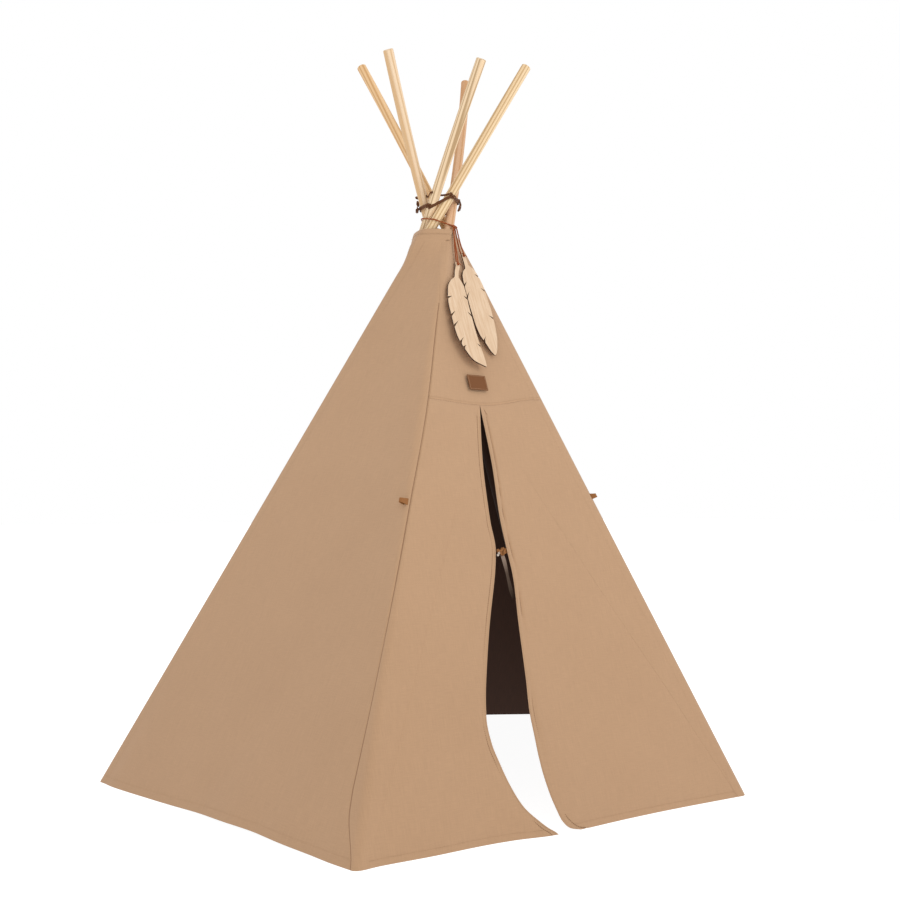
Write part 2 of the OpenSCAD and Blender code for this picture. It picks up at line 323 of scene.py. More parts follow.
def cover_point(i, z, d, out=0.0, plain=False):
    """A point of panel i at a height, d along it from the pole on its left.

    Past its ends the cloth turns round the poles and goes on as the next panel.
    """
    if not plain and i == FRONT:
        z, d = lift_yoke_seam(z, d)
    j, w, n = (i + 1) % 5, panel_width(i, z), panel_normal(i, z)
    if d > w + full_turn(j, z):
        return cover_point(j, z, d - w - full_turn(j, z), out, plain)
    if d < -full_turn(i, z):
        before = (i + 4) % 5
        return cover_point(before, z, d + full_turn(i, z) + panel_width(before, z), out, plain)
    r = WRAP_R + out
    if not plain:
        r += wrinkle(i, z, d) - 0.0022 * smooth(1.20, 1.30, z)
    if d < 0:
        p = pole_xy(i, z) + r * (Matrix.Rotation(d / WRAP_R, 2) @ n)
    elif d > w:
        p = pole_xy(j, z) + r * (Matrix.Rotation((d - w) / WRAP_R, 2) @ n)
    else:
        p = pole_xy(i, z).lerp(pole_xy(j, z), d / w) + r * n
    if plain:
        return Vector((p.x, p.y, z))
    p = p + (p - CROSSING).normalized() * loose(i, z, d)
    return Vector((p.x, p.y, z + hem_rise(i, z, d)))


def seam_drift(i, z):
    """The seam on the front left pole wanders round its pole on the way up, and near the floor."""
    if i != FRONT_LEFT:
        return 0.0
    near_floor = min(max((0.60 - z) / 0.48, 0.0), 1.0) ** 1.6 * (1 - 0.7 * smooth(0.09, 0.0, z))
    return 0.012 * bump(z, 0.86, 0.20) - 0.022 * smooth(1.12, 1.27, z) - 0.036 * near_floor


def seam_start(i, z):
    return -half_turn(i, z) * WRAP_R + seam_drift(i, z)


def seam_end(i, z):
    j = (i + 1) % 5
    return panel_width(i, z) + half_turn(j, z) * WRAP_R + seam_drift(j, z)


# The split's top is at this share of the yoke's width, from the front left pole.
SPLIT_SHARE = 0.44
# A crease starts this far from its pole at the floor, and ends this far short of the split's top.
CREASE_FOOT, CREASE_GAP = 0.014, 0.0035
SPLIT_LEFT = SPLIT_SHARE * panel_width(FRONT, YOKE_H)
SPLIT_RIGHT = (1 - SPLIT_SHARE) * panel_width(FRONT, YOKE_H)


def crease(split, z):
    """Distance of a flap's crease from its own pole."""
    return CREASE_FOOT + (split - CREASE_FOOT - CREASE_GAP) * z / YOKE_H


def fold_left(z):
    return crease(SPLIT_LEFT, z)


def fold_right(z):
    return panel_width(FRONT, z) - crease(SPLIT_RIGHT, z)


# Free edges of the flaps, in mm: height, left flap's from the left pole, right flap's from the right pole.
DOOR = [(0, 433, 468), (6, 424, 491), (14, 408, 499), (27, 387, 503), (57, 346, 502), (100, 309, 495),
        (139, 282, 484), (178, 258, 470), (225, 241, 453), (290, 234, 422), (409, 231, 369), (500, 233, 328),
        (551, 230, 312), (620, 207, 290), (750, 172, 237), (884, 149, 191)]


def along_table(table, x, column):
    """Smooth value of a table at x: cubic through its rows, without overshoot."""
    xs = [r[0] for r in table]
    ys = [r[column] for r in table]
    k = min(max(sum(v <= x for v in xs) - 1, 0), len(xs) - 2)
    slopes = [(ys[n + 1] - ys[n]) / (xs[n + 1] - xs[n]) for n in range(len(xs) - 1)]

    def tangent(n):
        if n == 0:
            return slopes[0]
        if n == len(xs) - 1:
            return slopes[-1]
        a, b = slopes[n - 1], slopes[n]
        return 0.0 if a * b <= 0 else 2 * a * b / (a + b)

    h = xs[k + 1] - xs[k]
    t = min(max((x - xs[k]) / h, 0.0), 1.0)
    a, b = tangent(k) * h, tangent(k + 1) * h
    return (ys[k] * (2 * t**3 - 3 * t**2 + 1) + a * (t**3 - 2 * t**2 + t)
            + ys[k + 1] * (3 * t**2 - 2 * t**3) + b * (t**3 - t**2))


def edge_left(z):
    return along_table(DOOR, z / MM, 1) * MM


def edge_right(z):
    return panel_width(FRONT, z) - along_table(DOOR, z / MM, 2) * MM


def front_frame(z, share, out):
    """Origin and turn of a flat piece on the front panel: x across, y into the tent, z up the slope."""
    step, cloth_face = 0.01, 0.001

    def at(height, off):
        d = share * panel_width(FRONT, height)
        return cover_point(FRONT, height, d, out=off, plain=True)

    a, b = at(z - step, cloth_face), at(z + step, cloth_face)
    n = panel_normal(FRONT, z)
    slope = math.atan2(Vector((b.x - a.x, b.y - a.y)).length, 2 * step)
    turn = Matrix.Rotation(math.atan2(n.y, n.x) + math.pi / 2, 4, "Z") @ Matrix.Rotation(-slope, 4, "X")
    return Matrix.Translation(at(z, cloth_face + out)) @ turn


# ---------- materials ----------


def srgb(r, g, b):
    def lin(c):
        c /= 255
        return c / 12.92 if c <= 0.04045 else ((c + 0.055) / 1.055) ** 2.4

    return (lin(r), lin(g), lin(b))


def node_material(name, colour, rough, shine=0.5):
    m = bpy.data.materials.new(name)
    m.use_nodes = True
    nt = m.node_tree
    bsdf = nt.nodes["Principled BSDF"]
    bsdf.inputs["Base Color"].default_value = (*colour, 1)
    bsdf.inputs["Roughness"].default_value = rough
    bsdf.inputs["Specular IOR Level"].default_value = shine
    return m, nt, bsdf


def mapped(nt, source, scale):
    tex = nt.nodes.new("ShaderNodeTexCoord")
    mp = nt.nodes.new("ShaderNodeMapping")
    mp.inputs["Scale"].default_value = scale
    nt.links.new(tex.outputs[source], mp.inputs["Vector"])
    return mp.outputs["Vector"]


def up_the_cloth(nt):
    """The V coordinate of a sheet."""
    axes = nt.nodes.new("ShaderNodeSeparateXYZ")
    nt.links.new(mapped(nt, "UV", (1, 1, 1)), axes.inputs["Vector"])
    return axes.outputs["Y"]


def grain(nt, source, scale, detail=2.0):
    """Noise with its own scale along each axis of the source."""
    n = nt.nodes.new("ShaderNodeTexNoise")
    n.inputs["Scale"].default_value = 1.0
    n.inputs["Detail"].default_value = detail
    nt.links.new(mapped(nt, source, scale), n.inputs["Vector"])
    return n.outputs["Fac"]


def ramp(nt, fac, stops):
    r = nt.nodes.new("ShaderNodeValToRGB")
    els = r.color_ramp.elements
    while len(els) < len(stops):
        els.new(0.5)
    for e, (pos, colour) in zip(els, stops):
        e.position = pos
        e.color = (*colour, 1)
    nt.links.new(fac, r.inputs["Fac"])
    return r.outputs["Color"]


def mix(nt, fac, a, b, kind="MIX"):
    m = nt.nodes.new("ShaderNodeMix")
    m.data_type = "RGBA"
    m.blend_type = kind
    m.inputs["Factor"].default_value = fac
    nt.links.new(a, m.inputs["A"])
    nt.links.new(b, m.inputs["B"])
    return m.outputs["Result"]


def times(nt, a, b):
    return mix(nt, 1.0, a, b, "MULTIPLY")


def add_bump(nt, bsdf, height, strength, distance):
    b = nt.nodes.new("ShaderNodeBump")
    b.inputs["Strength"].default_value = strength
    b.inputs["Distance"].default_value = distance
    nt.links.new(height, b.inputs["Height"])
    nt.links.new(b.outputs["Normal"], bsdf.inputs["Normal"])


WHITE = (1, 1, 1)


def canvas_material(name, colour, streak, weave):
    """Woven cloth: threads across and along, with streaks that run up the cloth. UV is in metres."""
    m, nt, bsdf = node_material(name, colour, 0.92, 0.15)
    bsdf.inputs["Sheen Weight"].default_value = 0.12
    bsdf.inputs["Sheen Roughness"].default_value = 0.6
    up = grain(nt, "UV", (520, 26, 1), 3.0)
    across = grain(nt, "UV", (40, 560, 1))
    dark = tuple(c * (1 - streak) for c in colour)
    light = tuple(c * (1 + streak * 0.8) for c in colour)
    streaks = ramp(nt, up, [(0.3, dark), (0.7, light)])
    threads = ramp(nt, across, [(0.3, (0.94, 0.94, 0.94)), (0.7, WHITE)])
    patches = ramp(nt, grain(nt, "UV", (5, 5, 1)), [(0.3, (0.97, 0.965, 0.96)), (0.7, WHITE)])
    # Darker towards the bottom of the cloth.
    lower_darker = ramp(nt, up_the_cloth(nt), [(0.0, (0.93, 0.92, 0.91)), (0.9, WHITE)])
    woven = times(nt, times(nt, streaks, threads), patches)
    nt.links.new(times(nt, woven, lower_darker), bsdf.inputs["Base Color"])
    add_bump(nt, bsdf, mix(nt, 0.5, up, across), weave, 0.0006)
    return m


def pine_material(name, shade, pink, stripe, pitch):
    """Straight-grained pine: growth lines run along the pole, which is local Z."""
    colour = srgb(*shade)
    m, nt, bsdf = node_material("pine_" + name, colour, 0.6, 0.25)
    wave = nt.nodes.new("ShaderNodeTexWave")
    wave.bands_direction = "DIAGONAL"
    wave.inputs["Scale"].default_value = 0.30 / pitch
    wave.inputs["Distortion"].default_value = 5.0
    wave.inputs["Detail"].default_value = 3.0
    wave.inputs["Detail Scale"].default_value = 0.6
    nt.links.new(mapped(nt, "Object", (1, 1, 0.012)), wave.inputs["Vector"])
    fibre = grain(nt, "Object", (900, 900, 14))
    dark = tuple(c * k * (1 - stripe) for c, k in zip(colour, (1.02, 0.90, 0.72)))
    light = tuple(min(c * 1.10, 1) for c in colour)
    lines = ramp(nt, wave.outputs["Fac"], [(0.05, light), (0.55, colour), (0.95, dark)])
    blush = ramp(nt, grain(nt, "Object", (60, 60, 1.2), 1.0), [(0.35, pink), (0.65, WHITE)])
    fibres = ramp(nt, fibre, [(0.3, (0.93, 0.92, 0.90)), (0.7, WHITE)])
    nt.links.new(times(nt, times(nt, lines, blush), fibres), bsdf.inputs["Base Color"])
    add_bump(nt, bsdf, fibre, 0.15, 0.0004)
    return m


def leather_material(name, colour, rough, shine, pores, strength, depth, detail=3.0):
    """One colour with a fine raised grain. pores is how many there are in a metre."""
    m, nt, bsdf = node_material(name, colour, rough, shine)
    add_bump(nt, bsdf, grain(nt, "Object", (pores, pores, pores), detail), strength, depth)
    return m


def plywood_material():
    """Pale face veneer whose grain runs down the feather."""
    colour = srgb(208, 180, 150)
    m, nt, bsdf = node_material("plywood", colour, 0.6, 0.2)
    stops = [(0.3, srgb(198, 167, 136)), (0.55, colour), (0.75, srgb(214, 189, 162))]
    nt.links.new(ramp(nt, grain(nt, "Object", (260, 260, 22), 3.0), stops), bsdf.inputs["Base Color"])
    return m


def shaded_tape_material():
    """Tape with painted shade that deepens to its lower end, and painted light at its pale top. Its V runs from 0 to 1.
    """
    m, nt, bsdf = node_material("tape", srgb(112, 98, 86), 0.9, 0.1)
    # These stops paint the shade at the bottom and the light at the top.
    stops = [(0.0, srgb(50, 38, 30)), (0.55, srgb(82, 68, 58)), (1.0, srgb(150, 130, 116))]
    nt.links.new(ramp(nt, up_the_cloth(nt), stops), bsdf.inputs["Base Color"])
    return m


CANVAS_OUT = canvas_material("canvas", srgb(178, 143, 111), 0.040, 0.30)
# The inside of the cover is the same canvas, drawn far darker as painted shade.
CANVAS_IN_SHADED = canvas_material("canvas_inside_painted_shade", srgb(55, 31, 18), 0.20, 0.5)
# The strip at each seam is drawn darker as painted shadow in the groove.
SEAM_PAINTED_SHADE = node_material("seam_groove_painted_shade", srgb(140, 107, 79), 0.95)[0]
THREAD = node_material("thread", srgb(171, 137, 106), 0.8, 0.2)[0]
THREAD_PALE = node_material("thread_pale", srgb(196, 184, 172), 0.8, 0.2)[0]
# Real thread, darkened as painted shade of the flaps' hem grooves.
THREAD_WITH_HEM_SHADE = node_material("thread_dark_painted_shade", srgb(120, 88, 60), 0.8, 0.2)[0]
PINE = [
    pine_material("front_left", (204, 166, 132), (0.98, 0.93, 0.90), 0.14, 0.006),
    pine_material("front_right", (212, 178, 136), (1.0, 0.94, 0.88), 0.20, 0.006),
    pine_material("right", (218, 194, 164), (1.0, 0.96, 0.93), 0.14, 0.007),
    pine_material("back", (220, 195, 162), (1.0, 0.97, 0.94), 0.40, 0.0042),
    pine_material("left", (219, 194, 158), (1.0, 0.95, 0.88), 0.26, 0.006),
]
LEATHER = leather_material("leather", srgb(138, 90, 48), 0.6, 0.2, 900, 0.25, 0.0004)
PATCH = leather_material("patch_leather", srgb(112, 71, 41), 0.65, 0.15, 700, 0.25, 0.0004)
LACE = leather_material("lace", srgb(94, 57, 32), 0.6, 0.15, 1200, 0.3, 0.0003, detail=2.0)
CORD = node_material("cord", srgb(142, 70, 30), 0.6, 0.2)[0]
PLY = plywood_material()
BURNT = node_material("burnt_edge", srgb(58, 36, 26), 0.8)[0]
TAPE = shaded_tape_material()

# ---------- meshes ----------

# Edges that turn more sharply than this stay crisp.
CRISP = math.radians(50)


def new_mesh(name, verts, faces, materials, flat=False):
    me = bpy.data.meshes.new(name)
    me.from_pydata([tuple(v) for v in verts], [], faces)
    me.validate()
    o = bpy.data.objects.new(name, me)
    bpy.context.scene.collection.objects.link(o)
    for m in materials:
        me.materials.append(m)
    if not flat:
        me.polygons.foreach_set("use_smooth", [True] * len(me.polygons))
    return o


def grid(name, points, uvs, materials):
    """A smooth sheet over rows of points, with its outward side on the right of a row seen from above."""
    rows, cols = len(points), len(points[0])
    verts = [p for row in points for p in row]
    faces = [(r * cols + c, r * cols + c + 1, (r + 1) * cols + c + 1, (r + 1) * cols + c)
             for r in range(rows - 1) for c in range(cols - 1)]
    o = new_mesh(name, verts, faces, materials)
    layer = o.data.uv_layers.new(name="UVMap")
    flat_uv = [uv for row in uvs for uv in row]
    for poly in o.data.polygons:
        for li in poly.loop_indices:
            layer.data[li].uv = flat_uv[o.data.loops[li].vertex_index]
    return o


def thicken(o, thickness, inner=0):
    """Give a sheet its thickness, inward. inner is the material number of its back."""
    m = o.modifiers.new("thickness", "SOLIDIFY")
    m.thickness = thickness
    m.offset = -1
    m.material_offset = inner
    o.modifiers.new("rim", "EDGE_SPLIT").split_angle = CRISP
    return o


def spline(points, steps, close=False):
    """Points along a smooth curve through the given ones, steps to a stretch."""
    pts = [Vector(p) for p in points]
    n = len(pts)
    out = []
    for k in range(n if close else n - 1):
        p1, p2 = pts[k], pts[(k + 1) % n]
        p0 = pts[k - 1] if (close or k > 0) else p1
        p3 = pts[(k + 2) % n] if (close or k + 2 < n) else p2
        for s in range(steps):
            t = s / steps
            out.append(0.5 * ((2 * p1) + (p2 - p0) * t + (2 * p0 - 5 * p1 + 4 * p2 - p3) * t * t
                              + (3 * p1 - p0 - 3 * p2 + p3) * t**3))
    if not close:
        out.append(pts[-1])
    return out


def ring_faces(rings, sides, close=False):
    """Faces between rings of points, with an end cap on each end of an open run."""
    faces = []
    for k in range(rings if close else rings - 1):
        near, far = k * sides, (k + 1) % rings * sides
        for s in range(sides):
            after = (s + 1) % sides
            faces.append((near + s, near + after, far + after, far + s))
    if not close:
        faces.append(tuple(reversed(range(sides))))
        faces.append(tuple((rings - 1) * sides + s for s in range(sides)))
    return faces


def tube(name, points, radius, material, sides=8, steps=6, close=False, flat=1.0):
    """A cord along a smooth curve through the points. flat under 1 makes it a ribbon."""
    pts = spline(points, steps, close)
    n = len(pts)
    verts = []
    u = Vector((1, 0, 0))
    for k, p in enumerate(pts):
        a = pts[(k - 1) % n] if close else pts[max(k - 1, 0)]
        b = pts[(k + 1) % n] if close else pts[min(k + 1, n - 1)]
        t = (b - a).normalized()
        level = UP - t * t.dot(UP)
        if level.length < 0.2:
            level = u - t * t.dot(u)
        u = level.normalized()
        v = t.cross(u)
        for s in range(sides):
            w = 2 * math.pi * s / sides
            verts.append(p + radius * (u * math.cos(w) + v * math.sin(w) * flat))
    return new_mesh(name, verts, ring_faces(n, sides, close), [material]), pts


def local_tubes(name, frame_at, routes, radius, material, **options):
    """A tube along each route, whose points are in mm in a local frame."""
    return [tube(f"{name}_{k}", [frame_at @ (Vector(p) * MM) for p in route], radius, material, **options)[0]
            for k, route in enumerate(routes)]


def merge(name, objects):
    """Join finished pieces into the first one."""
    with bpy.context.temp_override(active_object=objects[0], selected_editable_objects=objects):
        bpy.ops.object.join()
    objects[0].name = name
    return objects[0]


def stitches(name, path, out_dir, material=THREAD, pitch=0.0042, length=0.0028, width=0.0008, lift=0.0007):
    """Short raised threads along a path of points. out_dir(point) is the cloth's outward normal there."""
    verts, faces = [], []
    carry = 0.0
    for a, b in zip(path[:-1], path[1:]):
        step = (b - a).length
        if step < 1e-6:
            continue
        t = (b - a) / step
        while carry < step:
            c = a + t * carry
            n = out_dir(c)
            v = t.cross(n).normalized() * (width / 2)
            h, e = n * lift, t * (length / 2)
            k = len(verts)
            verts += [c - e + v, c - e - v, c + e - v, c + e + v, c - e * 0.5 + h, c + e * 0.5 + h]
            faces += [(k, k + 4, k + 5, k + 3), (k + 1, k + 2, k + 5, k + 4)]
            faces += [(k, k + 1, k + 4), (k + 2, k + 3, k + 5)]
            carry += pitch
        carry -= step
    return new_mesh(name, verts, faces, [material])


def upright_to(way):
    """The turn that takes +Z to a direction."""
    return UP.rotation_difference(way).to_matrix().to_4x4()


def drill_hole(o, at, axis, radius):
    """Cut a round hole through a finished mesh."""
    bpy.ops.mesh.primitive_cylinder_add(vertices=24, radius=radius, depth=0.06)
    drill = bpy.context.object
    drill.matrix_world = Matrix.Translation(at) @ upright_to(axis)
    bpy.context.view_layer.update()
    cut = o.modifiers.new("hole", "BOOLEAN")
    cut.operation = "DIFFERENCE"
    cut.solver = "EXACT"
    cut.object = drill
    dg = bpy.context.evaluated_depsgraph_get()
    done = bpy.data.meshes.new_from_object(o.evaluated_get(dg))
    o.modifiers.clear()
    o.data = done
    o.data.set_sharp_from_angle(angle=math.radians(40))
    bpy.data.objects.remove(drill)


def place(o, body, slot, node=None):
    """Say which body a piece moves with, its material slot and the CAD node it stands for."""
    if node:
        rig.replaces(o, node)
    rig.ride(o, body)
    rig.slot(o, slot)
    return o


# Share of its width that the cloth keeps in the gathered pose.
GATHERED = 0.25


def on_panel(o, i, body=None, slot="canvas", node=None):
    """Place a piece that draws together sideways with its panel as the poles gather."""
    place(o, body or PANELS[i], slot, node)
    e = (FEET[(i + 1) % 5] - FEET[i]).normalized()
    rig.squash(o, "gather", axis=(e.x, e.y, 0), anchor=(CROSSING.x, CROSSING.y, 0), keep=GATHERED)
    return o


# ---------- poles ----------

POLE_SIDES = 40
POLE_BEVEL = 0.0015
# No pole is quite straight: its tip strays sideways by about this much, to the right in the photo's view.
POLE_WARP = [-0.012, -0.006, 0.010, 0.009, 0.002]
# The bend starts this far above the lace hole, and is complete this far above that.
WARP_FROM, WARP_OVER = 0.02, 0.36


def pole_profile(i):
    """Radius and distance along the pole of every ring, close together at the lace hole."""
    hole, near, clear = HOLE_H / pole_dir(i).z, 0.012, 0.03
    along = [POLE_BEVEL] + between(0.25, hole - clear, 5) + between(hole - near, hole + near, 4)
    along += between(hole + clear, POLE_LEN - 0.03, 12) + [POLE_LEN - POLE_BEVEL]
    end_r = POLE_R - POLE_BEVEL
    return [(end_r, 0)] + [(POLE_R, z) for z in along] + [(end_r, POLE_LEN)]


def bend_pole(o, i):
    into_world, back = o.matrix_world.copy(), o.matrix_world.inverted()
    for v in o.data.vertices:
        p = into_world @ v.co
        share = max(p.z - HOLE_H - WARP_FROM, 0.0) / WARP_OVER
        v.co = back @ (p + VIEW_RIGHT.to_3d() * (POLE_WARP[i] * share**2))


def pole(i):
    # The square-cut foot rests on its lowest edge, so the pole starts a little above the floor.
    start = (POLE_R - POLE_BEVEL) * math.tan(math.acos(pole_dir(i).z))
    profile = pole_profile(i)
    around = [2 * math.pi * s / POLE_SIDES for s in range(POLE_SIDES)]
    verts = [(r * math.cos(a), r * math.sin(a), z + start) for r, z in profile for a in around]
    o = new_mesh("pole_" + POLES[i] + "_wood", verts, ring_faces(len(profile), POLE_SIDES), [PINE[i]])
    # Each pole shows another side of its grain.
    spin = Matrix.Rotation(1.3 * i, 4, "Z")
    o.matrix_world = Matrix.Translation(pole_at(i, 0)) @ upright_to(pole_dir(i)) @ spin
    drill_hole(o, pole_at(i, HOLE_H), across_pole(i), HOLE_R)
    bend_pole(o, i)
    place(o, "leg_" + POLES[i], "pine", "pole_" + POLES[i])


for i in range(5):
    pole(i)

# ---------- pole sleeves ----------

SLEEVE_R = 0.0144
SLEEVE_LOW, SLEEVE_TOP = 0.004, 1.290
SLEEVE_SIDES = 20


def sleeve(i):
    """The sewn tube inside the cover that a pole slides into, slimmer at its top."""
    heights, around = between(SLEEVE_LOW, SLEEVE_TOP, 40), between(0, 2 * math.pi, SLEEVE_SIDES)
    pts = []
    for z in heights:
        r = SLEEVE_R - 0.0013 * smooth(1.20, 1.27, z)
        pts.append([pole_at(i, z) + r * Vector((math.cos(a), math.sin(a), 0)) for a in around])
    uvs = [[(a * SLEEVE_R, z) for a in around] for z in heights]
    # The sleeves at the right and back poles take the inside canvas, whose dark colour is painted shade.
    material = CANVAS_IN_SHADED if i in (RIGHT, BACK) else CANVAS_OUT
    o = thicken(grid("sleeve_" + POLES[i] + "_cloth", pts, uvs, [material]), 0.0008)
    place(o, "leg_" + POLES[i], "canvas", "sleeve_" + POLES[i])


for i in range(5):
    sleeve(i)

# ---------- cloth panels ----------

# Each seam along a pole is a groove this deep and wide.
SEAM_DIP, SEAM_W = 0.0026, 0.0020
# The even columns of a panel start at its flat cloth, at least this far from its seam.
FLAT_FROM = 0.006
# Where the columns of a sheet stand, as shares of the turn at its left and at its right.
LEFT_TURN = (0, 0.06, 0.12, 0.22, 0.34, 0.46, 0.58, 0.68, 0.78, 0.89)
RIGHT_TURN = (0.25, 0.45, 0.62, 0.76, 0.88, 1.0)
# Above this height a seam's groove has no painted shade.
SEAM_TOP = 1.12


def columns(z, i, d0, d1, n, sewn):
    """Distances along a panel at one height, closer together where a sewn edge turns round its pole."""
    head, tail = [], []
    if sewn[0]:
        flat = max(0.0, d0 + FLAT_FROM)
        head = [d0 + (flat - d0) * t for t in LEFT_TURN]
        d0 = flat
    if sewn[1]:
        flat = min(panel_width(i, z), d1 - FLAT_FROM)
        tail = [flat + (d1 - flat) * t for t in RIGHT_TURN]
        d1 = flat
    return head + between(d0, d1, n, 0.35) + tail


def cloth(name, i, levels, n, left=None, right=None, dips=(), extra=None):
    """A sheet of panel i between two edges, each a distance along the panel as a function of height.

    An edge that isn't given is the seam along its pole. dips gives the heights of level seams, and
    extra a further distance outward at each point.
    """
    sewn = (left is None, right is None)
    left = left or (lambda z: seam_start(i, z))
    right = right or (lambda z: seam_end(i, z))
    pts, uvs = [], []
    for z in levels:
        row, uv = [], []
        a, b = left(z), right(z)
        dip = SEAM_DIP * (1 - 0.75 * smooth(1.05, 1.2, z)) * (1 - 0.7 * smooth(0.6, 0.2, z))
        for d in columns(z, i, a, b, n, sewn):
            out = -sum(dip * bump(d, edge, SEAM_W) for edge, yes in zip((a, b), sewn) if yes)
            out -= sum(0.0016 * bump(z, at, 0.0022) for at in dips)
            if extra:
                out += extra(z, d)
            row.append(cover_point(i, z, d, out=out))
            uv.append((d - panel_width(i, z) / 2 + 3 * i, z * 1.1))
        pts.append(row)
        uvs.append(uv)
    o = grid(name, pts, uvs, [CANVAS_OUT, CANVAS_IN_SHADED, SEAM_PAINTED_SHADE])
    cols = len(pts[0]) - 1
    seams = [column for column, yes in zip((0, cols - 1), sewn) if yes]
    # The column at each sewn edge below SEAM_TOP takes the painted shadow of the seam's groove.
    for k, poly in enumerate(o.data.polygons):
        if k % cols in seams and levels[k // cols] < SEAM_TOP:
            poly.material_index = 2
    # A wall's back takes the inside canvas with its painted shade; a flap's back keeps the outer colour.
    thicken(o, 0.0010, inner=0 if "flap" in name else 1)
    declare_sheet(o, i, levels, left, right)
    return o


def declare_sheet(o, i, levels, left, right):
    """Flat size and area of a sheet, measured over its rows."""
    widths = [right(z) - left(z) for z in levels]
    mids = [cover_point(i, z, (left(z) + right(z)) / 2, plain=True) for z in levels]
    steps = [(b - a).length for a, b in zip(mids[:-1], mids[1:])]
    area = sum(h * (a + b) / 2 for h, a, b in zip(steps, widths[:-1], widths[1:]))
    held, rests = "stretched", ["pole_" + POLES[i], "pole_" + POLES[(i + 1) % 5]]
    if "flap" in o.name:
        held, rests = "hung", ["door_yoke_cloth"]
    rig.sheet(o, flat=(max(widths), sum(steps)), held=held, rests_on=rests, area=area)


WALLS = {FRONT_RIGHT: "wall_right", RIGHT: "wall_back_right", BACK: "wall_back_left", LEFT: "wall_left"}
WALL_LEVELS = [0.0, 0.004, 0.010, 0.018] + between(0.03, COVER_TOP, 110)
YOKE_LEVELS = [YOKE_H, YOKE_H + 0.0015, YOKE_H + 0.003, YOKE_H + 0.006] + between(0.90, COVER_TOP, 46)
DOOR_LEVELS = [0.0, 0.001, 0.0025, 0.004, 0.006, 0.0085, 0.0115, 0.015, 0.019, 0.024, 0.030]
DOOR_LEVELS += between(0.038, 0.87, 110) + [YOKE_H - 0.006, YOKE_H - 0.003, YOKE_H - 0.0015, YOKE_H - 0.0002]


def front_cloth(node, levels, n, left=None, right=None, body=None, extra=None):
    o = cloth(node + "_cloth", FRONT, levels, n, left, right, dips=(YOKE_H,), extra=extra)
    on_panel(o, FRONT, body, node=node)


# A flap reaches this far under the fixed cloth at its crease.
OVERLAP = 0.0008
# The groove of each flap's hem: its distance from the free edge, and its depth.
LEFT_GROOVE, RIGHT_GROOVE = (0.0095, 0.0012), (0.0125, 0.0032)


def hem_groove(inset, groove):
    at, depth = groove
    return depth * bump(inset, at, 0.0018)


def tuck_under(inset):
    """The flap's crease edge reaches a little way under the cloth beside it."""
    return 0.0003 * smooth(0.0004, -OVERLAP, inset)


def left_flap_lift(z, d):
    """The left flap's edge bows a little outward near the floor."""
    inset = edge_left(z) - d
    bow = 0.010 * smooth(0.10, 0.0, inset) * smooth(0.45, 0.0, z)
    return bow - hem_groove(inset, LEFT_GROOVE) - tuck_under(d - fold_left(z))


def right_flap_lift(z, d):
    """The right flap's edge bows outward over most of its height."""
    inset = d - edge_right(z)
    bow = 0.006 * smooth(0.16, 0.0, inset) * smooth(0.6, 0.1, z)
    return bow - hem_groove(inset, RIGHT_GROOVE) - tuck_under(fold_right(z) - d)


for i, node in WALLS.items():
    on_panel(cloth(node + "_cloth", i, WALL_LEVELS, 72), i, node=node)
front_cloth("door_yoke", YOKE_LEVELS, 40)
front_cloth("door_side_left", DOOR_LEVELS, 26, right=fold_left)
front_cloth("door_side_right", DOOR_LEVELS, 30, left=fold_right)
front_cloth("door_flap_left", DOOR_LEVELS, 34, lambda z: fold_left(z) - OVERLAP, edge_left,
            "left_flap", left_flap_lift)
front_cloth("door_flap_right", DOOR_LEVELS, 44, edge_right, lambda z: fold_right(z) + OVERLAP,
            "right_flap", right_flap_lift)

# ---------- stitching ----------

# How far the stitches of a sleeve are from its pole, and those of the hems from the floor.
SLEEVE_LINE, WALL_HEM, FLAP_HEM = 0.017, 0.016, 0.012
# How far the second row of stitches is from each flap's free edge. It lies in the hem's groove, in darker, wider thread
# that is painted shade of the groove.
LEFT_ROW, RIGHT_ROW = 0.009, 0.0125
# Threads lie this far off the cloth.
THREAD_OFF = 0.0001
# The photo shows no sleeve stitches at the front left pole. These are its panels, and their side there.
UNSEEN_LINES = ((FRONT, 0), (LEFT, 1))


def sew(name, i, path, body=None, **look):
    """Stitches on the cloth of panel i, which leans in as it rises."""
    out = (panel_normal(i, 0.5).to_3d() + 0.38 * UP).normalized()
    on_panel(stitches(name, path, lambda p: out, **look), i, body)


def level_path(i, z, width, n):
    return [cover_point(i, z, d, out=THREAD_OFF) for d in between(0, width, n)]


def wall_stitches(i):
    for side in (0, 1):
        if (i, side) in UNSEEN_LINES:
            continue
        path = []
        for z in between(0.004, 1.292, 160):
            d = SLEEVE_LINE if side == 0 else panel_width(i, z) - SLEEVE_LINE
            path.append(cover_point(i, z, d, out=THREAD_OFF))
        sew(f"sleeve_stitch_{POLES[i]}_{side}", i, path, lift=0.0004)
    if i != FRONT:
        sew(f"hem_stitch_{POLES[i]}", i, level_path(i, WALL_HEM, panel_width(i, WALL_HEM), 90), lift=0.0004)


